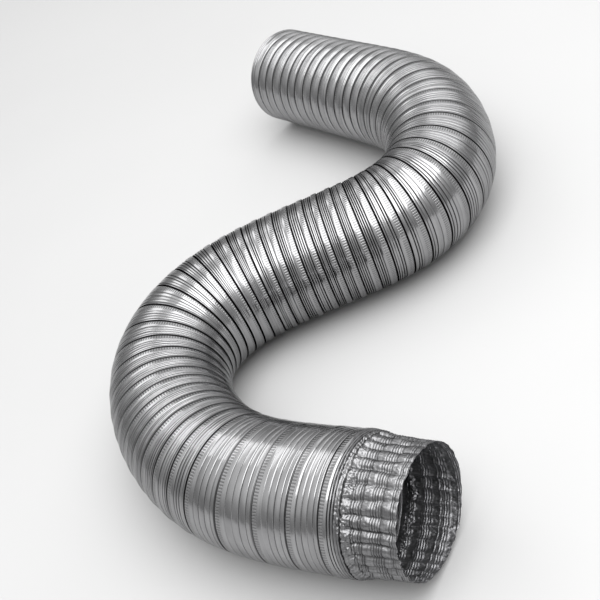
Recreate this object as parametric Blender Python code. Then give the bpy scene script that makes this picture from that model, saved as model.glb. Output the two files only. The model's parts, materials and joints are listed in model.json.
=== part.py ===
"""Semi-rigid aluminium air duct for a 4 inch (100 mm) vent, lying in an S on a surface.

One corrugated aluminium strip is wound into a tube and locked to itself along a helical seam.
One end is crimped so that it pushes into a pipe, and the other end is plain. The tube gives
between its turns, so it is divided into sections of a few turns, with a short stretch of
pleats between each two that bends, lifts or stretches while the sections keep their shape.

Frame: metres, +Z up, the surface at Z = 0, the crimped end facing +X, and the origin under the
middle of the duct's box. Distances along the duct start at the crimped end's rim.
"""

import math

import bmesh
import bpy
from mathutils import Matrix, Vector

# The tube
BORE_RADIUS = 0.0504
VALLEY_RADIUS = 0.0516
CREST_RADIUS = 0.0530
SIDES = 20
SMOOTH_BELOW = math.radians(30)

# The way it lies: each bend is (where its middle is, how long it is, how far it turns left)
DUCT_LENGTH = 1.010
BENDS = (
    (0.183, 0.250, math.radians(-42)),
    (0.365, 0.330, math.radians(-104)),
    (0.630, 0.230, math.radians(82)),
    (0.773, 0.210, math.radians(40)),
)
CRIMPED_RIM = Vector((0.1997, -0.2844, CREST_RADIUS))
TRACE_STEP = 0.0005

# The crimped end: flutes pressed into the last turns, which shrink towards the rim
CRIMP_LENGTH = 0.045
CRIMP_FLUTES = 30
CRIMP_RIM_RADIUS = 0.0488
CRIMP_ROOT_RADIUS = 0.0508
FLUTE_DEPTH = 0.0014
CRIMP_WALL = 0.0010
CRIMP_STATIONS = 4

# The sections of wall and the pleats between them
SECTIONS = 17
ROOT_SECTION = 9
JOINT_GAP = 0.016
PLEATS_PER_SECTION = 3
PLEAT_CREST_RADIUS = 0.0514
PLEAT_SIDE_RADIUS = 0.0508
PLEAT_WALL = 0.0010
CLEARANCE = 0.0003

SECTION_LENGTH = (DUCT_LENGTH - CRIMP_LENGTH) / SECTIONS


def eased(x):
    """Goes from 0 to 1 as x does, starting and stopping gently."""
    x = min(max(x, 0.0), 1.0)
    return x - math.sin(math.tau * x) / math.tau


def heading(distance):
    """Which way the centreline runs there, going away from the crimped end."""
    turned = sum(turn * eased((distance - middle) / length + 0.5) for middle, length, turn in BENDS)
    return math.pi + turned


def trace_centreline():
    """Points a small step apart along the whole centreline."""
    points = [CRIMPED_RIM.copy()]
    for i in range(round(DUCT_LENGTH / TRACE_STEP)):
        way = heading((i + 0.5) * TRACE_STEP)
        points.append(points[-1] + TRACE_STEP * Vector((math.cos(way), math.sin(way), 0.0)))
    return points


CENTRELINE = trace_centreline()


def frame_at(distance):
    """A frame on the centreline: X along the duct, Y to its left, Z up."""
    step = min(int(distance / TRACE_STEP), len(CENTRELINE) - 2)
    share = distance / TRACE_STEP - step
    point = CENTRELINE[step].lerp(CENTRELINE[step + 1], share)
    return Matrix.Translation(point) @ Matrix.Rotation(heading(distance), 4, "Z")


def ring(distance, radius_at, sides):
    """The corners of one cross-section, with a flat at its bottom."""
    frame = frame_at(distance)
    corners = []
    for i in range(sides):
        angle = math.tau * (i + 0.5) / sides
        radius = radius_at(i) / math.cos(math.pi / sides)
        corners.append(frame @ Vector((0.0, radius * math.cos(angle), radius * math.sin(angle))))
    return corners


def round_ring(distance, radius):
    """A cross-section of the plain round wall."""
    return ring(distance, lambda i: radius, SIDES)


def fluted_ring(distance, radius, depth):
    """A cross-section whose corners go in and out, two to a flute."""
    return ring(distance, lambda i: radius - depth * (i % 2), 2 * CRIMP_FLUTES)


def add_shell(name, rings, pivot, parent, material):
    """A closed tube wall from its rings, which go out along it and back along the bore."""
    mesh = bmesh.new()
    to_pivot = pivot.inverted()
    loops = [[mesh.verts.new(to_pivot @ corner) for corner in corners] for corners in rings]
    for near, far in zip(loops, loops[1:] + loops[:1]):
        for i in range(len(near)):
            k = (i + 1) % len(near)
            mesh.faces.new((near[i], near[k], far[k], far[i]))
    bmesh.ops.recalc_face_normals(mesh, faces=mesh.faces)
    data = bpy.data.meshes.new(name)
    mesh.to_mesh(data)
    mesh.free()
    data.shade_smooth()
    data.set_sharp_from_angle(angle=SMOOTH_BELOW)
    data.materials.append(material)
    node = bpy.data.objects.new(name, data)
    bpy.context.collection.objects.link(node)
    node.parent = parent
    return node


def add_material(name, color, roughness):
    """Bare metal of one colour."""
    material = bpy.data.materials.new(name)
    material.use_nodes = True
    shader = material.node_tree.nodes["Principled BSDF"]
    shader.inputs["Base Color"].default_value = (*color, 1.0)
    shader.inputs["Metallic"].default_value = 1.0
    shader.inputs["Roughness"].default_value = roughness
    return material


def joint_place(number):
    """How far along the duct the joint between this section and the next is."""
    return CRIMP_LENGTH + number * SECTION_LENGTH


def section_span(number):
    """Where a section's stiff wall starts and ends along the duct."""
    start = joint_place(number - 1) + (JOINT_GAP / 2 if number > 1 else CLEARANCE / 2)
    end = joint_place(number) - (JOINT_GAP / 2 if number < SECTIONS else 0.0)
    return start, end


def body_pivot(number):
    """The frame of the joint that a section moves on, or the root section's middle."""
    if number < ROOT_SECTION:
        return frame_at(joint_place(number))
    if number > ROOT_SECTION:
        return frame_at(joint_place(number - 1))
    return frame_at((joint_place(number) + joint_place(number - 1)) / 2)


def add_pivots():
    """An empty on each section's joint, each the child of the one towards the root."""
    outwards = list(range(ROOT_SECTION, 0, -1)) + list(range(ROOT_SECTION + 1, SECTIONS + 1))
    pivots = {}
    for number in outwards:
        pivot = bpy.data.objects.new(f"pivot_{number:02d}", None)
        bpy.context.collection.objects.link(pivot)
        towards_root = pivots.get(number + 1 if number < ROOT_SECTION else number - 1)
        placed = body_pivot(number)
        if towards_root:
            pivot.parent = towards_root
            last = number + 1 if number < ROOT_SECTION else number - 1
            placed = body_pivot(last).inverted() @ placed
        pivot.matrix_basis = placed
        pivots[number] = pivot
    return pivots


def add_section(number, pivots, material):
    """A stiff section: a few turns of wall with a raised lock seam on each."""
    start, end = section_span(number)
    folds = 2 * PLEATS_PER_SECTION
    outside = [
        round_ring(start + (end - start) * i / folds, CREST_RADIUS if i % 2 else VALLEY_RADIUS)
        for i in range(folds + 1)
    ]
    bore = [round_ring(start + (end - start) * share, BORE_RADIUS) for share in (1.0, 0.5, 0.0)]
    rings = outside + bore
    name = f"wall_section_{number:02d}"
    add_shell(name, rings, body_pivot(number), pivots[number], material)


def add_pleats(number, pivots, material):
    """The pleats that give at the joint between this section and the next."""
    start = joint_place(number) - JOINT_GAP / 2 + CLEARANCE
    end = joint_place(number) + JOINT_GAP / 2 - CLEARANCE
    stations = (
        (start, PLEAT_SIDE_RADIUS),
        ((start + end) / 2, PLEAT_CREST_RADIUS),
        (end, PLEAT_SIDE_RADIUS),
    )
    outside = [round_ring(place, radius) for place, radius in stations]
    bore = [round_ring(place, radius - PLEAT_WALL) for place, radius in reversed(stations)]
    body = number if number < ROOT_SECTION else number + 1
    add_shell(f"pleats_{number:02d}", outside + bore, body_pivot(body), pivots[body], material)


def add_crimped_end(pivots, material):
    """The end that pushes into a pipe: it narrows towards its rim, and its flutes deepen."""
    outside, bore = [], []
    for i in range(CRIMP_STATIONS):
        share = i / (CRIMP_STATIONS - 1)
        place = share * (CRIMP_LENGTH - CLEARANCE / 2)
        radius = CRIMP_RIM_RADIUS + share * (CRIMP_ROOT_RADIUS - CRIMP_RIM_RADIUS)
        depth = FLUTE_DEPTH * (1 - share**2)
        outside.append(fluted_ring(place, radius, depth))
        bore.insert(0, fluted_ring(place, radius - CRIMP_WALL, depth))
    add_shell("crimped_end", outside + bore, body_pivot(1), pivots[1], material)


def main():
    for old in list(bpy.data.objects):
        bpy.data.objects.remove(old)
    wall = add_material("duct_wall_aluminium", (0.60, 0.61, 0.62), 0.30)
    fold = add_material("pleat_aluminium", (0.48, 0.49, 0.50), 0.35)
    crimp = add_material("crimped_aluminium", (0.66, 0.67, 0.68), 0.25)
    pivots = add_pivots()
    add_crimped_end(pivots, crimp)
    for number in range(1, SECTIONS + 1):
        add_section(number, pivots, wall)
    for number in range(1, SECTIONS):
        add_pleats(number, pivots, fold)


main()
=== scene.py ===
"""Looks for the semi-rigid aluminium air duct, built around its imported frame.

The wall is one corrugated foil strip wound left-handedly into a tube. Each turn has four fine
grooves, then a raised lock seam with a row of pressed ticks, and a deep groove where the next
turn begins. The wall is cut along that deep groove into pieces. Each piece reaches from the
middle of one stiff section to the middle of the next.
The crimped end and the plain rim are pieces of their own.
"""

import json
import math

import bpy
import numpy as np
from mathutils import Matrix, Vector


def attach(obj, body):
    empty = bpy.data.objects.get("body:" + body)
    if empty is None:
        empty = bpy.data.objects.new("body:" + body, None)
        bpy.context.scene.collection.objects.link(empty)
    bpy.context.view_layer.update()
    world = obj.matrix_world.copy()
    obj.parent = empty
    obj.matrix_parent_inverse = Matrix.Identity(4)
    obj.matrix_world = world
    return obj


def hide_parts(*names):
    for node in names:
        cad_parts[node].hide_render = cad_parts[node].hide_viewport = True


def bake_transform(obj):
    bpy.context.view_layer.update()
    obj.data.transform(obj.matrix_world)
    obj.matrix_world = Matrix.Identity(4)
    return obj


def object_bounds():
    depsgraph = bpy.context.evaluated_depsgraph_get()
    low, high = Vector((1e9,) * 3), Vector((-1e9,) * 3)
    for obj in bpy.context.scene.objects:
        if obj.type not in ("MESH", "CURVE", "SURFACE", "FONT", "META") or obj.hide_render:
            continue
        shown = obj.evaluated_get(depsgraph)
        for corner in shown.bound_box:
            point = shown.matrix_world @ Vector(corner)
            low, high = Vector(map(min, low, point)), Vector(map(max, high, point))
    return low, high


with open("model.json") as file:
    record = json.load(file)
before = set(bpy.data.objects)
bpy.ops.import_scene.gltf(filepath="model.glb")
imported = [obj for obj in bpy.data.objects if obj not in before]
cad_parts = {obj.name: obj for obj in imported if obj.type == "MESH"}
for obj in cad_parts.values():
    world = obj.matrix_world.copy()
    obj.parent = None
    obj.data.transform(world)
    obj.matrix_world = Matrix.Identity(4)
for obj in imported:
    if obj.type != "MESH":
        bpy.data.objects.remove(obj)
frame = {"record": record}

MM = 0.001

# ---------------------------------------------------------------- the way the duct lies
LENGTH = 1.010
BENDS = (
    (0.183, 0.250, math.radians(-42)),
    (0.365, 0.330, math.radians(-104)),
    (0.630, 0.230, math.radians(82)),
    (0.773, 0.210, math.radians(40)),
)
CRIMP_LENGTH = 0.045
SECTIONS = 17
SECTION_LENGTH = (LENGTH - CRIMP_LENGTH) / SECTIONS
TRACE_STEP = 0.0005
TINY_STEP = 0.05 * MM
BEFORE_RIM = 20

# ---------------------------------------------------------------- the winding
# The strip's pitch (mm) at distances (mm) from the crimped rim. It is stretched next to the
# crimp and in the bends.
PITCHES = (
    (0, 14.0), (48, 14.0), (58, 20.0), (72, 27.5), (148, 27.5), (170, 18.0), (186, 14.6),
    (240, 14.8), (285, 15.5), (310, 18.0), (335, 20.5), (385, 20.5), (405, 17.0), (425, 15.0),
    (460, 14.2), (500, 15.0), (540, 13.4), (585, 13.4), (610, 15.1), (645, 16.5), (695, 20.5),
    (785, 20.5), (805, 17.0), (825, 14.6), (845, 13.5), (1010, 13.4),
)
RELAXED_PITCH = 13.6 * MM
# How far the winding is counted past each rim, and how unevenly it runs, in turns
PAST_CRIMPED_RIM = 40 * MM
PAST_PLAIN_RIM = 60 * MM
UNEVENNESS = 0.035
AROUND = 100
WALL_RADIUS = 52.7 * MM
SEAM = 0.39 * MM
GROOVE = 0.38 * MM
GROOVES = 4
BAND = 5.2 * MM
BAND_SHARES = {False: (0.08, 0.35, 0.65, 0.92, 0.975), True: (0.15, 0.9)}
FOIL = 0.25 * MM
TICK = 2.3 * MM
# Towards the plain end, from here on, the grooves fade and each turn is one rounded bulge
ROUNDED_FROM = 0.78
ROUNDED_OVER = 0.06
# How much a bend can shorten or lengthen the wall
SQUEEZE_LIMITS = (0.36, 1.5)

# ---------------------------------------------------------------- the two ends
CRIMP_ENDS = 48.5 * MM
FLUTES = 30
CRIMP_AROUND = 360
CRIMP_ROWS = 118
RIM_STARTS = LENGTH - 12 * MM
RIM_AROUND = 200
RIM_ROWS = 40
CRUSHED_ROOT = 44 * MM
# The rim's rings: how far each is from the edge and how deep, in mm
RIM_RINGS = ((2.4, 0.9), (5.2, 0.7))


def smooth(x):
    """0 up to 0, 1 from 1 on, and smooth between."""
    x = np.clip(x, 0.0, 1.0)
    return x * x * (3 - 2 * x)


def wander(x, seed, rates=(0.37, 0.83, 1.31, 2.17)):
    """A smooth wandering number between about -1 and 1."""
    phases = np.random.default_rng(seed).uniform(0, math.tau, len(rates))
    waves = [np.sin(math.tau * rate * x + phase) for rate, phase in zip(rates, phases)]
    return sum(waves) / math.sqrt(len(rates))


# ---------------------------------------------------------------- the centreline
def heading(distance):
    """Which way the centreline runs, going away from the crimped end."""
    distance = np.asarray(distance, float)
    turned = np.full_like(distance, math.pi)
    for middle, length, turn in BENDS:
        x = np.clip((distance - middle) / length + 0.5, 0.0, 1.0)
        turned += turn * (x - np.sin(math.tau * x) / math.tau)
    return turned


def curvature(distance):
    """How fast the centreline turns left, in radians a metre."""
    distance = np.asarray(distance, float)
    total = np.zeros_like(distance)
    for middle, length, turn in BENDS:
        x = np.clip((distance - middle) / length + 0.5, 0.0, 1.0)
        total += turn / length * (1 - np.cos(math.tau * x))
    return total


def trace(start):
    """Distances along the centreline, and its points, from the crimped rim on."""
    steps = np.arange(round(LENGTH / TRACE_STEP))
    way = heading((steps + 0.5) * TRACE_STEP)
    moves = TRACE_STEP * np.stack([np.cos(way), np.sin(way)], 1)
    points = np.vstack([start, start + np.cumsum(moves, 0)])
    return np.arange(len(points)) * TRACE_STEP, points


class Tube:
    """The tube's centreline, and where a point of its surface is."""

    def __init__(self, start, axis_height):
        distances, points = trace(start)
        before = 2 * points[0] - points[BEFORE_RIM]
        self.distances = np.concatenate([[-distances[BEFORE_RIM]], distances])
        self.points = np.vstack([before, points])
        self.axis_height = axis_height

    def centre(self, distance):
        return np.stack(
            [
                np.interp(distance, self.distances, self.points[:, 0]),
                np.interp(distance, self.distances, self.points[:, 1]),
                np.full_like(np.asarray(distance, float), self.axis_height),
            ],
            -1,
        )

    def surface(self, distance, angle, radius):
        """angle runs from the left side of the way along the duct over its top."""
        way = heading(distance)
        out = radius * np.cos(angle)
        place = self.centre(distance)
        place[..., 0] -= np.sin(way) * out
        place[..., 1] += np.cos(way) * out
        place[..., 2] += radius * np.sin(angle)
        return place


# ---------------------------------------------------------------- the winding
class Winding:
    """Counts turns along the duct. A turn's number and its place along the duct go together."""

    def __init__(self):
        where, pitch = np.array(PITCHES, float).T * MM
        self.distances = np.arange(-PAST_CRIMPED_RIM, LENGTH + PAST_PLAIN_RIM, TRACE_STEP)
        rate = 1 / np.interp(self.distances, where, pitch)
        turns = np.concatenate([[0], np.cumsum((rate[1:] + rate[:-1]) / 2 * TRACE_STEP)])
        self.turns = turns + UNEVENNESS * wander(turns, 5, (0.71, 0.37))

    def place(self, turn):
        """How far along the duct the start of that turn is."""
        return np.interp(turn, self.turns, self.distances)

    def turn(self, distance):
        return np.interp(distance, self.distances, self.turns)

    def split(self, distance, angle):
        """The number of the turn that covers this point."""
        turn = self.turn(distance)
        return turn - (turn + angle / math.tau) % 1.0


class Layout:
    """Where things lie across one turn of the strip. Distances are taken as if the duct were
    straight there; squeeze is how much a bend then shortens (or lengthens) them, and bent how
    sharp the bend is. A bend opens the seams."""

    def __init__(self, pitch, squeeze, bent):
        stretch = np.maximum(pitch / RELAXED_PITCH - 1.0, 0.0)
        self.pitch = pitch
        self.pulled_grooves = smooth(1.3 * stretch)
        self.pulled_seams = smooth(1.6 * stretch - 0.8)
        self.calm = 1 - 0.50 * smooth(stretch - 0.15)
        self.seam = SEAM * (1 + 0.35 * stretch + 0.20 * bent) / squeeze
        self.groove = GROOVE * (1 + 0.10 * stretch) / np.sqrt(squeeze)
        self.ribs = 1.9 * self.seam
        self.band_end = pitch - 1.9 * self.seam
        self.band = np.maximum(self.band_end - BAND, 0.45 * pitch)
        self.spacing = (self.band - self.ribs) / GROOVES

    def middle(self, number):
        """The middle of one of the fine grooves."""
        return self.ribs + self.spacing * (number + 0.60)

    def stations(self, inside):
        """Places across the turn at which the lattice has its points."""
        shares = () if inside else (0.6, 1.2, 1.9)
        places = [0 * self.pitch] + [share * self.seam for share in shares]
        near = np.minimum(0.7 * self.groove, 0.20 * self.spacing)
        wide = np.minimum(1.9 * self.groove, 0.40 * self.spacing)
        for number in range(GROOVES):
            middle = self.middle(number)
            places.append(middle - 0.5 * self.spacing)
            offsets = (0 * near,) if inside else (-wide, -near, 0 * near, near, wide)
            places += [middle + offset for offset in offsets]
        length = self.band_end - self.band
        places += [self.band + share * length for share in BAND_SHARES[inside]]
        places += [self.pitch - share * self.seam for share in shares[::-1]]
        return np.stack(places, -1)


def bending(distance, angle):
    """How much a bend shortens the wall at a point, and how sharp the bend is there."""
    bent = curvature(distance) * WALL_RADIUS
    squeeze = np.clip(1 - bent * np.cos(angle), *SQUEEZE_LIMITS)
    return squeeze, np.minimum(np.abs(bent), 1.0)


def relief(x, turn, pitch, distance, angle, pressed=0.0):
    """How far the strip stands out from the wall's radius, x into its turn, and how much painted
    shade it gets in a groove or seam, from 0 to 1. Where it has been pressed flat, the seam is
    mostly gone."""
    squeeze, bent = bending(distance, angle)
    lay = Layout(pitch, squeeze, bent)
    opened = smooth((pitch * squeeze / RELAXED_PITCH - 0.65) / 0.40)
    far = smooth((distance - ROUNDED_FROM) / ROUNDED_OVER)
    wide = lay.band_end - lay.band

    share = x / pitch
    peak = 0.5 - 0.06 * far
    bulge = np.where(share < peak, (peak - share) / peak, (share - peak) / (1 - peak)) ** 2
    pillow = 0.25 + 1.65 * far + 0.15 * (1 - opened)
    height = -0.35 * MM - pillow * lay.calm * MM * bulge
    groove_shade = np.zeros_like(x)
    for number in range(GROOVES + 1):
        begin = 0 if number == 0 else lay.middle(number - 1)
        end = lay.band if number == GROOVES else lay.middle(number)
        tilt = 0.05 * wander(turn, 61 + number, (0.19, 0.43, 0.71)) * (1 - far)
        height += np.where((x >= begin) & (x < end), tilt * (x - (begin + end) / 2), 0.0)
    for number in range(GROOVES):
        away = np.abs(x - lay.middle(number)) / lay.groove
        depth = 0.80 + 0.45 * wander(turn, 11 + number, (0.23, 0.57, 0.91))
        depth = np.clip(depth, 0.15, 1.3) * (1 - 0.75 * far) * (0.25 + 0.75 * opened)
        height -= depth * lay.calm * (1 - 0.9 * bent) * np.exp(-(away**2)) * MM
        # Painted shade in each fine groove, weaker where the strip is pulled open
        shadow = smooth(1.5 - away) * np.clip(1.2 * depth, 0, 1)
        shadow = shadow * (0.85 - 0.42 * lay.pulled_grooves)
        groove_shade = np.maximum(groove_shade, shadow)

    after = np.exp(-((x / lay.seam) ** 2))
    before = np.exp(-(((pitch - x) / lay.seam) ** 2))
    deep_after = 1.45 + 0.25 * wander(turn, 31, (0.31, 0.77))
    deep_before = 1.45 + 0.25 * wander(turn + 1, 31, (0.31, 0.77))
    height -= (after * deep_after + before * deep_before) * lay.calm * (1 - 0.75 * pressed) * MM
    # Painted shade along the seams, wider and darker in sharp bends
    sharp = np.minimum(2 * bent, 1.0)
    shadow = smooth((1.95 + 0.40 * sharp - np.minimum(x, pitch - x) / lay.seam) / 0.45)
    shadow *= (0.75 + 0.25 * sharp) * (1 - 0.30 * lay.pulled_seams)
    groove_shade = np.maximum(groove_shade, shadow)

    share = (x - lay.band) / wide
    on_band = smooth(share / 0.08) * smooth((1.01 - share) / 0.09)
    lift = (0.45 - 0.35 * far) * (0.2 + 0.8 * opened) + 0.15 * np.clip(share, 0, 1)
    height += on_band * lay.calm * lift * (1 - 0.8 * pressed) * (1 - 0.9 * bent) * MM
    return height, groove_shade


def relief_at(winding, distance, angle, pressed=0.0):
    """The relief at any point, with its turn and its place across the relaxed strip."""
    turn = winding.split(distance, angle)
    start = winding.place(turn)
    pitch = winding.place(turn + 1) - start
    height, groove_shade = relief(distance - start, turn, pitch, distance, angle, pressed)
    return height, groove_shade, turn, np.clip((distance - start) / pitch, 0, 1) * RELAXED_PITCH


class Lattice:
    """Points on the wound wall: rows step around the winding, columns across the strip."""

    def __init__(self, tube, winding, inside):
        first = math.floor(winding.turn(CRIMP_ENDS) - 2) * AROUND
        last = math.ceil(winding.turn(RIM_STARTS) + 2) * AROUND
        self.rows = np.arange(first, last)
        turn = self.rows / AROUND
        start = winding.place(turn)
        pitch = winding.place(turn + 1) - start
        x = Layout(pitch, *bending(start + pitch / 2, -math.tau * turn)).stations(inside)
        self.columns = x.shape[1]
        low, high = (CRIMP_ENDS - start)[:, None], (RIM_STARTS - start)[:, None]
        self.outside = (x < low).astype(int) - (x > high).astype(int)
        x = np.clip(x, low, high)
        distance = start[:, None] + x
        angle = np.broadcast_to((-math.tau * turn)[:, None], x.shape)
        whole = np.broadcast_to(turn[:, None], x.shape)
        depth = FOIL if inside else 0.0
        height, self.groove_shade = relief(x, whole, pitch[:, None], distance, angle)
        self.points = tube.surface(distance, angle, WALL_RADIUS + height - depth)
        relaxed = Layout(np.array([RELAXED_PITCH]), 1.0, 0.0).stations(inside)[0]
        self.across = np.append(relaxed, RELAXED_PITCH)
        self.inside = inside
        if inside:
            along = self.wide_step()
        else:
            ends = []
            for step in (-TINY_STEP, TINY_STEP):
                height, _ = relief(x + step, whole, pitch[:, None], distance + step, angle)
                ends.append(tube.surface(distance + step, angle, WALL_RADIUS + height))
            along = ends[1] - ends[0]
        self.normals = self.find_normals(along, self.points - tube.centre(distance))

    def beyond(self, grid, step):
        """The column just past the strip's edge, which is the next or the last turn's."""
        column = grid[:, 0] if step > 0 else grid[:, -1]
        return np.roll(column, -step * AROUND, axis=0)

    def wide_step(self):
        """From each point's neighbour on one side, along the duct, to the other side's."""
        wide = np.concatenate(
            [
                self.beyond(self.points, -1)[:, None],
                self.points,
                self.beyond(self.points, 1)[:, None],
            ],
            1,
        )
        return wide[:, 2:] - wide[:, :-2]

    def find_normals(self, along, out):
        around = np.roll(self.points, 1, axis=0) - np.roll(self.points, -1, axis=0)
        normal = np.cross(along, around)
        flip = np.sign((normal * out).sum(-1, keepdims=True))
        flip[flip == 0] = 1
        size = np.linalg.norm(normal, axis=-1, keepdims=True)
        good = size > 1e-12
        normal = np.where(good, normal * flip / np.maximum(size, 1e-12), out)
        normal /= np.linalg.norm(normal, axis=-1, keepdims=True)
        return -normal if self.inside else normal

    def quads(self, start, stop):
        """The faces between two rows, as (row, column) corners, facing away from the foil."""
        begin, end = start - self.rows[0], stop - self.rows[0]
        row, column = np.meshgrid(np.arange(begin, end), np.arange(self.columns), indexing="ij")
        row, column = row.ravel(), column.ravel()
        corners = np.stack(
            [
                np.stack([row, column], 1),
                np.stack([row, column + 1], 1),
                np.stack([row + 1, column + 1], 1),
                np.stack([row + 1, column], 1),
            ],
            1,
        )
        if self.inside:
            corners = corners[:, ::-1]
        wrapped = self.wrap(corners)
        side = self.outside[wrapped[..., 0], wrapped[..., 1]]
        kept = ~((side == 1).all(1) | (side == -1).all(1))
        return corners[kept], wrapped[kept]

    def wrap(self, corners):
        """Turns a corner in the column past the strip's edge into the next turn's first."""
        row, column = corners[..., 0], corners[..., 1]
        over = column == self.columns
        return np.stack([np.where(over, row + AROUND, row), np.where(over, 0, column)], -1)


def ripples(angle, distance, seed, count, around, along):
    """A sum of plane waves over the unrolled wall, between about -1 and 1."""
    rng = np.random.default_rng(seed)
    total = np.zeros(np.broadcast(angle, distance).shape)
    for _ in range(count):
        m = rng.integers(-around, around + 1)
        k = rng.uniform(-1, 1) * math.tau / along
        total += np.sin(m * angle + k * distance + rng.uniform(0, math.tau))
    return total / math.sqrt(count)


# ---------------------------------------------------------------- meshes
def make_mesh(name, points, faces, normals, strip, groove_shade, material):
    """A smooth mesh with set normals, and the strip coordinates that its material reads."""
    mesh = bpy.data.meshes.new(name)
    mesh.vertices.add(len(points))
    mesh.vertices.foreach_set("co", points.astype(np.float32).ravel())
    mesh.loops.add(faces.size)
    mesh.loops.foreach_set("vertex_index", faces.astype(np.int32).ravel())
    mesh.polygons.add(len(faces))
    mesh.polygons.foreach_set("loop_start", np.arange(len(faces), dtype=np.int32) * 4)
    mesh.polygons.foreach_set("loop_total", np.full(len(faces), 4, np.int32))
    mesh.update(calc_edges=True)
    mesh.validate()
    mesh.shade_smooth()
    attribute = mesh.attributes.new("strip", "FLOAT_VECTOR", "CORNER")
    attribute.data.foreach_set("vector", strip.astype(np.float32).ravel())
    # The painted shade of grooves and seams, which the material reads
    attribute = mesh.attributes.new("groove_shade", "FLOAT", "POINT")
    attribute.data.foreach_set("value", groove_shade.astype(np.float32).ravel())
    mesh.normals_split_custom_set_from_vertices(normals.astype(np.float32).tolist())
    mesh.materials.append(material)
    piece = bpy.data.objects.new(name, mesh)
    bpy.context.scene.collection.objects.link(piece)
    return piece


def wall_piece(name, lattices, start, stop, material):
    """One piece of wound wall, outside and inside, between two rows of the winding."""
    points, normals, groove_shade, faces, strip = [], [], [], [], []
    offset = 0
    for lattice in lattices:
        corners, wrapped = lattice.quads(start, stop)
        keys = wrapped[..., 0] * lattice.columns + wrapped[..., 1]
        used, index = np.unique(keys, return_inverse=True)
        row, column = used // lattice.columns, used % lattice.columns
        points.append(lattice.points[row, column])
        normals.append(lattice.normals[row, column])
        groove_shade.append(lattice.groove_shade[row, column])
        faces.append(index.reshape(keys.shape) + offset)
        offset += len(used)
        turn = (corners[..., 0] + lattice.rows[0]) / AROUND
        along = turn * math.tau * WALL_RADIUS
        across = lattice.across[corners[..., 1]]
        inner = np.full_like(along, float(lattice.inside))
        strip.append(np.stack([along, across, inner], -1).reshape(-1, 3))
    return make_mesh(
        name,
        np.concatenate(points),
        np.concatenate(faces),
        np.concatenate(normals),
        np.concatenate(strip),
        np.concatenate(groove_shade),
        material,
    )


def ring_piece(name, tube, distance, angle, radii, groove_shades, strip, inner_first, material):
    """A closed foil end from a grid of rings: an outside, an inside, and the rim between."""
    rows, around = distance.shape
    index = np.arange(rows * around).reshape(rows, around)
    following = np.roll(index, -1, axis=1)
    outer = np.stack([index[:-1], following[:-1], following[1:], index[1:]], -1).reshape(-1, 4)
    inner = outer[:, ::-1] + rows * around
    rim_row = 0 if inner_first else rows - 1
    edge = np.stack(
        [
            index[rim_row],
            index[rim_row] + rows * around,
            following[rim_row] + rows * around,
            following[rim_row],
        ],
        -1,
    )
    if not inner_first:
        edge = edge[:, ::-1]
    points, normals = [], []
    for radius, sign in zip(radii, (1, -1)):
        place = tube.surface(distance, angle, radius)
        along = np.gradient(place, axis=0)
        across = np.roll(place, -1, axis=1) - np.roll(place, 1, axis=1)
        normal = np.cross(along, across)
        out = place - tube.centre(distance)
        out /= np.linalg.norm(out, axis=-1, keepdims=True)
        normal *= np.sign((normal * out).sum(-1, keepdims=True)) * sign
        normal /= np.maximum(np.linalg.norm(normal, axis=-1, keepdims=True), 1e-12)
        points.append(place.reshape(-1, 3))
        normals.append(normal.reshape(-1, 3))
    faces = np.concatenate([outer, inner, edge])[:, ::-1]
    flat = np.concatenate([strip.reshape(-1, 3), strip.reshape(-1, 3) + [0, 0, 1]])
    return make_mesh(
        name,
        np.concatenate(points),
        faces,
        np.concatenate(normals),
        flat[faces.ravel()],
        np.concatenate([c.ravel() for c in groove_shades]),
        material,
    )


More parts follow.
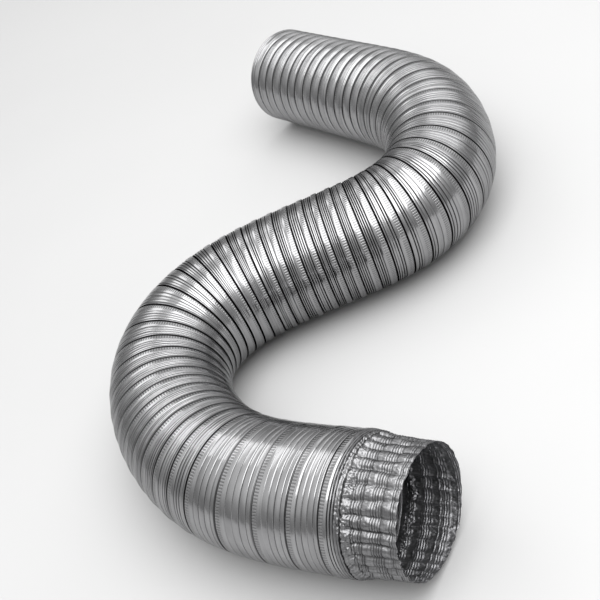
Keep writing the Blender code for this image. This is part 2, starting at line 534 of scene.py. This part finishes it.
def crimped_end(tube, winding, material):
    """The fluted end: the foil is pressed into flutes that deepen towards the rim. It is cut a
    little out of square."""
    row = np.linspace(0, 1, CRIMP_ROWS)[:, None]
    angle = -math.tau * np.arange(CRIMP_AROUND) / CRIMP_AROUND
    angle = np.broadcast_to(angle, (CRIMP_ROWS, CRIMP_AROUND))
    rim = (0.4 + 3.4 * np.cos(angle) + 0.35 * ripples(angle, 0.0, 3, 8, 40, 1.0)) * MM
    distance = rim + (CRIMP_ENDS - rim) * row

    root = CRUSHED_ROOT + 1.6 * MM * ripples(angle, 0.0, 8, 6, 9, 1.0)
    pressed = smooth((root - distance) / (7 * MM))
    height, groove_shade, turn, relaxed = relief_at(winding, distance, angle, pressed)
    crushed = smooth((root + 2 * MM - distance) / (3 * MM))
    crushed = crushed * smooth((distance - root + 12 * MM) / (6 * MM))
    step = (9 + 5 * np.sin(angle)) * MM
    base = -2.7 * smooth((root - distance) / step) - 1.7 * smooth((root - distance) / CRUSHED_ROOT)
    sway = 0.10 * ripples(angle, distance, 21, 6, 12, 0.05)
    flute = (FLUTES * angle / math.tau + sway) % 1.0 - 0.5
    deep = 2.3 * (1 + 0.22 * ripples(angle, 0.0, 33, 8, 14, 1.0))
    deep *= 1 - (0.62 - 0.18 * np.cos(angle)) * smooth(1 - distance / (16 * MM))
    flutes = -deep * pressed * np.abs(2 * flute) ** 2.2
    crinkle = -np.abs(ripples(angle, distance, 44, 40, 80, 0.006))
    crinkle -= 0.5 * np.abs(ripples(angle, distance, 46, 40, 120, 0.0035))
    shallow = ripples(angle, distance, 55, 40, 60, 0.010)
    height = height * (1 - 0.42 * pressed) + (base + flutes) * MM
    height += (crinkle * (0.75 * crushed + 0.22 * pressed) + shallow * 0.20 * pressed) * MM
    outer = WALL_RADIUS + height
    fade = smooth((CRIMP_ENDS - distance) / (2 * MM))
    inner = outer - FOIL - 0.08 * MM * fade
    strip = np.stack([turn * math.tau * WALL_RADIUS, relaxed, 0 * relaxed], -1)
    # Painted shade in the grooves and in the creases between the flutes; the inside gets less
    valley = pressed * np.clip((np.abs(2 * flute) - 0.80) / 0.20, 0, 1)
    shade = np.maximum(groove_shade * (1 - 0.25 * pressed), 0.6 * valley)
    shades = (shade, shade * 0.7)
    return ring_piece(
        "crimped_end_foil", tube, distance, angle, (outer, inner), shades, strip, True, material
    )


def plain_rim(tube, winding, material):
    """The last few millimetres of the plain end, where the strip is trimmed square."""
    row = np.linspace(0, 1, RIM_ROWS)[:, None]
    angle = np.broadcast_to(-math.tau * np.arange(RIM_AROUND) / RIM_AROUND, (RIM_ROWS, RIM_AROUND))
    distance = RIM_STARTS + (LENGTH - RIM_STARTS) * row + 0 * angle
    height, groove_shade, turn, relaxed = relief_at(winding, distance, angle)
    square = smooth((distance - RIM_STARTS - 1 * MM) / (4 * MM))
    rings = np.zeros_like(distance)
    for place, depth in RIM_RINGS:
        rings -= depth * MM * np.exp(-(((LENGTH - distance) / MM - place) / 0.5) ** 2)
    rings -= 0.25 * MM + 0.3 * MM * smooth((distance - LENGTH + 1 * MM) / (1 * MM))
    height = height * (1 - square) + rings * square
    # Painted shade in the rim's rings; the inside gets half as much
    groove_shade = groove_shade * (1 - square) + square * np.clip(-rings / MM - 0.3, 0, 1)
    outer = WALL_RADIUS + height
    inner = outer - FOIL - 0.15 * MM * square
    strip = np.stack([turn * math.tau * WALL_RADIUS, relaxed * (1 - square), 0 * relaxed], -1)
    groove_shades = (groove_shade, groove_shade * 0.5)
    return ring_piece(
        "plain_rim", tube, distance, angle, (outer, inner), groove_shades, strip, False, material
    )


# ---------------------------------------------------------------- materials
class Nodes:
    """Short ways to add and join shader nodes."""

    def __init__(self, material):
        self.tree = material.node_tree
        self.shader = self.tree.nodes["Principled BSDF"]

    def add(self, kind, **settings):
        node = self.tree.nodes.new(kind)
        for key, value in settings.items():
            setattr(node, key, value)
        return node

    def join(self, source, target):
        self.tree.links.new(source, target)

    def math(self, operation, a, b=None, c=None, clamp=False):
        node = self.add("ShaderNodeMath", operation=operation, use_clamp=clamp)
        for socket, value in zip(node.inputs, (a, b, c)):
            if value is None:
                continue
            if isinstance(value, (int, float)):
                socket.default_value = value
            else:
                self.join(value, socket)
        return node.outputs[0]

    def ramp(self, value, low, high, to_low=0.0, to_high=1.0):
        node = self.add("ShaderNodeMapRange", interpolation_type="SMOOTHSTEP")
        self.join(value, node.inputs["Value"])
        node.inputs["From Min"].default_value = low
        node.inputs["From Max"].default_value = high
        node.inputs["To Min"].default_value = to_low
        node.inputs["To Max"].default_value = to_high
        return node.outputs["Result"]

    def mix(self, share, a, b):
        node = self.add("ShaderNodeMix", data_type="RGBA")
        self.join(share, node.inputs["Factor"])
        for socket, value in ((node.inputs[6], a), (node.inputs[7], b)):
            if isinstance(value, tuple):
                socket.default_value = (*value, 1.0)
            else:
                self.join(value, socket)
        return node.outputs[2]

    def noise(self, vector, scale, detail=2.0, rough=0.5):
        node = self.add("ShaderNodeTexNoise")
        self.join(vector, node.inputs["Vector"])
        node.inputs["Scale"].default_value = scale
        node.inputs["Detail"].default_value = detail
        node.inputs["Roughness"].default_value = rough
        return node.outputs["Fac"]

    def scaled(self, vector, scale):
        node = self.add("ShaderNodeVectorMath", operation="MULTIPLY")
        self.join(vector, node.inputs[0])
        node.inputs[1].default_value = scale
        return node.outputs[0]

    def bump(self, height, distance, strength=1.0, before=None):
        node = self.add("ShaderNodeBump")
        node.inputs["Strength"].default_value = strength
        node.inputs["Distance"].default_value = distance
        self.join(height, node.inputs["Height"])
        if before is not None:
            self.join(before, node.inputs["Normal"])
        return node.outputs["Normal"]


# The inside colour of the duct foil is painted brighter, painted light standing in for the light
# inside the tube
DUCT_FOIL = {
    "bright": (0.38, 0.38, 0.385),
    "dull": (0.30, 0.30, 0.305),
    "inside": (0.75, 0.75, 0.76),
    "roughness": 0.15,
    "ticks": 0.45,
}
CRIMPED_FOIL = {
    "bright": (0.28, 0.28, 0.285),
    "dull": (0.19, 0.19, 0.195),
    "inside": (0.30, 0.30, 0.31),
    "roughness": 0.30,
    "ticks": 0.15,
}
# Painted shade: the colour painted into the gaps between the pressed ticks
TICK_GAP_SHADE = (0.07, 0.07, 0.072)
# Painted shade: the colour painted into grooves and seams
PAINTED_GROOVE_SHADE = (0.009, 0.009, 0.0095)
EDGE_TINT = (0.72, 0.72, 0.72)
# Painted shade: the specular tint in grooves and seams, which damps their reflection
EDGE_TINT_IN_GROOVE_SHADE = (0.03, 0.03, 0.03)


def foil_material(name, bright, dull, inside, roughness, ticks):
    """Rolled aluminium foil: fine rolling lines along the strip, a row of pressed ticks beside
    the lock seam with painted shade in the gaps between them, faint dents, and grooves and
    seams that are rougher and get painted shade with a damped reflection. The inside face is
    painted brighter, painted light standing in for the light inside the tube."""
    material = bpy.data.materials.new(name)
    material.use_nodes = True
    n = Nodes(material)
    strip = n.add("ShaderNodeAttribute", attribute_name="strip").outputs["Vector"]
    groove_shade = n.add("ShaderNodeAttribute", attribute_name="groove_shade").outputs["Fac"]
    place = n.add("ShaderNodeTexCoord").outputs["Object"]
    parts = n.add("ShaderNodeSeparateXYZ")
    n.join(strip, parts.inputs[0])
    along, across, inner = parts.outputs

    low, high = RELAXED_PITCH - 4.5 * MM, RELAXED_PITCH - 0.9 * MM
    rise, fall = n.ramp(across, low, low + 0.3 * MM), n.ramp(across, high - 0.3 * MM, high)
    row = n.math("MULTIPLY", rise, n.math("SUBTRACT", 1.0, fall))
    wave = n.ramp(n.math("SINE", n.math("MULTIPLY", along, math.tau / TICK)), -0.5, 0.5)
    gaps = n.math("MULTIPLY", n.math("SUBTRACT", 1.0, wave), row)

    rolling = n.noise(n.scaled(strip, (14.0, 1100.0, 1.0)), 1.0, 2.0, 0.6)
    blotch = n.noise(place, 42.0, 3.0, 0.55)
    speck = n.noise(place, 900.0, 2.0, 0.6)
    tone = n.math("MULTIPLY_ADD", rolling, 0.6, n.math("MULTIPLY", blotch, 0.4))
    base = n.mix(n.ramp(tone, 0.35, 0.65), dull, bright)
    # Painted light: the inside face takes the inside colour, which for the duct foil is painted
    # brighter
    base = n.mix(inner, base, inside)
    # Painted shade in the gaps between the pressed ticks
    base = n.mix(n.math("MULTIPLY", gaps, ticks), base, TICK_GAP_SHADE)
    # Painted shade: grooves and seams are painted near black
    base = n.mix(n.ramp(groove_shade, 0.05, 0.95, 0.0, 0.98), base, PAINTED_GROOVE_SHADE)
    n.join(base, n.shader.inputs["Base Color"])
    # Painted shade: the reflection is damped in grooves and seams
    edge = n.mix(n.ramp(groove_shade, 0.05, 0.70), EDGE_TINT, EDGE_TINT_IN_GROOVE_SHADE)
    n.join(edge, n.shader.inputs["Specular Tint"])
    n.shader.inputs["Metallic"].default_value = 1.0

    wear = n.math("MULTIPLY_ADD", rolling, 0.14, roughness - 0.07)
    wear = n.math("MULTIPLY_ADD", blotch, 0.12, n.math("SUBTRACT", wear, 0.06))
    wear = n.math("MULTIPLY_ADD", speck, 0.04, wear)
    wear = n.math("MULTIPLY_ADD", inner, 0.12, wear)
    wear = n.math("MULTIPLY_ADD", groove_shade, 0.25, wear, clamp=True)
    n.join(wear, n.shader.inputs["Roughness"])

    normal = n.bump(n.math("MULTIPLY", gaps, -ticks), 0.30 * MM)
    normal = n.bump(n.noise(place, 55.0, 2.0, 0.5), 0.25 * MM, before=normal)
    streaks = n.noise(n.scaled(strip, (9.0, 480.0, 1.0)), 1.0, 1.0, 0.5)
    normal = n.bump(streaks, 0.060 * MM, before=normal)
    normal = n.bump(rolling, 0.020 * MM, before=normal)
    n.join(normal, n.shader.inputs["Normal"])
    return material


def floor_material():
    material = bpy.data.materials.new("floor_paper")
    material.use_nodes = True
    n = Nodes(material)
    place = n.add("ShaderNodeTexCoord").outputs["Object"]
    grain = n.noise(place, 3.0, 3.0)
    n.join(n.mix(grain, (0.47, 0.47, 0.47), (0.50, 0.50, 0.50)), n.shader.inputs["Base Color"])
    n.shader.inputs["Roughness"].default_value = 0.85
    return material


# ---------------------------------------------------------------- the studio
FLOOR_REACH = 6.0
FLOOR_DROP = 0.5 * MM
FLOOR_CORNERS = ((-1, -1), (1, -1), (1, 1), (-1, 1))
# Each softbox: its name, where it is, where it points, its width and depth in metres, its watts
LIGHTS = (
    ("softbox", (0.85, -0.28, 2.0), (0.85, -0.28, 0.0), 2.3, 2.8, 61),
    ("back_panel", (0.5, 3.0, 1.8), (0.0, 0.0, 0.1), 3.6, 1.9, 13),
    ("side_panel", (-1.9, 0.8, 2.0), (0.0, 0.2, 0.1), 1.6, 1.1, 9),
)
LIGHT_AT_HORIZON = 0.42
LIGHT_OVERHEAD = 1.2
CAMERA_PLACE = Vector((0.4978, -0.6435, 0.6171))
CAMERA_LOOKS = Vector((-0.5258, 0.5982, -0.6047))
CAMERA_UP = Vector((-0.0112, 0.7060, 0.7081))
FIELD_OF_VIEW = math.radians(31.6419)


def add_floor():
    mesh = bpy.data.meshes.new("floor")
    corners = [(x * FLOOR_REACH, y * FLOOR_REACH, -FLOOR_DROP) for x, y in FLOOR_CORNERS]
    mesh.from_pydata(corners, [], [(0, 1, 2, 3)])
    mesh.materials.append(floor_material())
    floor = bpy.data.objects.new("floor", mesh)
    bpy.context.scene.collection.objects.link(floor)


def add_light(name, place, target, width, depth, power):
    data = bpy.data.lights.new(name, "AREA")
    data.shape = "RECTANGLE"
    data.size, data.size_y = width, depth
    data.energy = power
    light = bpy.data.objects.new(name, data)
    light.location = place
    light.rotation_euler = (Vector(target) - Vector(place)).to_track_quat("-Z", "Y").to_euler()
    bpy.context.scene.collection.objects.link(light)


def add_world(horizon, zenith):
    """Soft light from all around, brighter overhead."""
    world = bpy.data.worlds.new("studio")
    world.use_nodes = True
    tree = world.node_tree
    background = tree.nodes["Background"]
    background.inputs["Color"].default_value = (1.0, 1.0, 1.0, 1.0)
    way = tree.nodes.new("ShaderNodeTexCoord")
    parts = tree.nodes.new("ShaderNodeSeparateXYZ")
    rise = tree.nodes.new("ShaderNodeMapRange")
    rise.interpolation_type = "SMOOTHSTEP"
    rise.inputs["From Min"].default_value = 0.15
    rise.inputs["From Max"].default_value = 0.85
    rise.inputs["To Min"].default_value = horizon
    rise.inputs["To Max"].default_value = zenith
    tree.links.new(way.outputs["Generated"], parts.inputs[0])
    tree.links.new(parts.outputs[2], rise.inputs["Value"])
    tree.links.new(rise.outputs["Result"], background.inputs["Strength"])
    bpy.context.scene.world = world


def add_camera():
    look = CAMERA_LOOKS.normalized()
    right = look.cross(CAMERA_UP).normalized()
    up = right.cross(look)
    data = bpy.data.cameras.new("camera")
    data.sensor_fit = "HORIZONTAL"
    data.angle = FIELD_OF_VIEW
    data.clip_start = 0.01
    camera = bpy.data.objects.new("camera", data)
    turned = Matrix((right, up, -look)).transposed().to_4x4()
    camera.matrix_world = Matrix.Translation(CAMERA_PLACE) @ turned
    bpy.context.scene.collection.objects.link(camera)
    bpy.context.scene.camera = camera


# ---------------------------------------------------------------- everything together
def joint_place(number):
    return CRIMP_LENGTH + number * SECTION_LENGTH


def boundary_row(winding, distance):
    """The row at which to cut the wall, so that the cut's one turn is centred there."""
    turn = winding.turn(distance) - 0.5
    return int(round(float(turn) * AROUND))


def room_to_bend(lattice, tube, number, starts):
    """How far from a joint's plane the nearest cut edge is, on either side."""
    place = joint_place(number)
    way = float(heading(place))
    direction = np.array([math.cos(way), math.sin(way), 0.0])
    middle = tube.centre(np.array(place))
    nearest = 1.0
    for start, sign in ((starts[number - 1], -1), (starts[number], 1)):
        begin = start - lattice.rows[0]
        edge = lattice.points[begin : begin + AROUND + 1, 0]
        cut = lattice.points[begin]
        points = np.concatenate([edge, cut])
        nearest = min(nearest, float((sign * ((points - middle) @ direction)).min()))
    return nearest, middle, direction


def build_wall(tube, winding, material):
    lattices = [Lattice(tube, winding, False), Lattice(tube, winding, True)]
    middles = [(joint_place(k - 1) + joint_place(k)) / 2 for k in range(1, SECTIONS + 1)]
    starts = [boundary_row(winding, middle) for middle in middles]
    first, last = int(lattices[0].rows[0]), int(lattices[0].rows[-1]) - AROUND
    piece = wall_piece("turns_00", lattices, first + AROUND, starts[0], material)
    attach(piece, "section_01")
    for number in range(1, SECTIONS):
        rows = starts[number - 1], starts[number]
        piece = wall_piece(f"turns_{number:02d}", lattices, *rows, material)
        room, middle, direction = room_to_bend(lattices[0], tube, number, starts)
        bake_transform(piece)
        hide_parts(f"wall_section_{number:02d}", f"pleats_{number:02d}")
    piece = wall_piece(f"turns_{SECTIONS:02d}", lattices, starts[-1], last, material)
    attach(piece, f"section_{SECTIONS:02d}")
    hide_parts(f"wall_section_{SECTIONS:02d}")


def main():
    cad_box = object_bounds()
    mounts = {mount["name"]: mount for mount in frame["record"]["mounts"]}
    rim = mounts["crimped_rim"]["pos_m"]
    tube = Tube(np.array(rim[:2]), cad_box[1].z / 2)
    winding = Winding()
    wall = foil_material("duct_foil", **DUCT_FOIL)
    crimp = foil_material("crimped_foil", **CRIMPED_FOIL)
    build_wall(tube, winding, wall)
    end = crimped_end(tube, winding, crimp)
    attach(end, "section_01")
    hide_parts("crimped_end")
    end = plain_rim(tube, winding, wall)
    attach(end, f"section_{SECTIONS:02d}")

    add_floor()
    add_world(LIGHT_AT_HORIZON, LIGHT_OVERHEAD)
    for light in LIGHTS:
        add_light(*light)
    add_camera()
    bpy.context.scene.view_settings.view_transform = "Standard"


main()
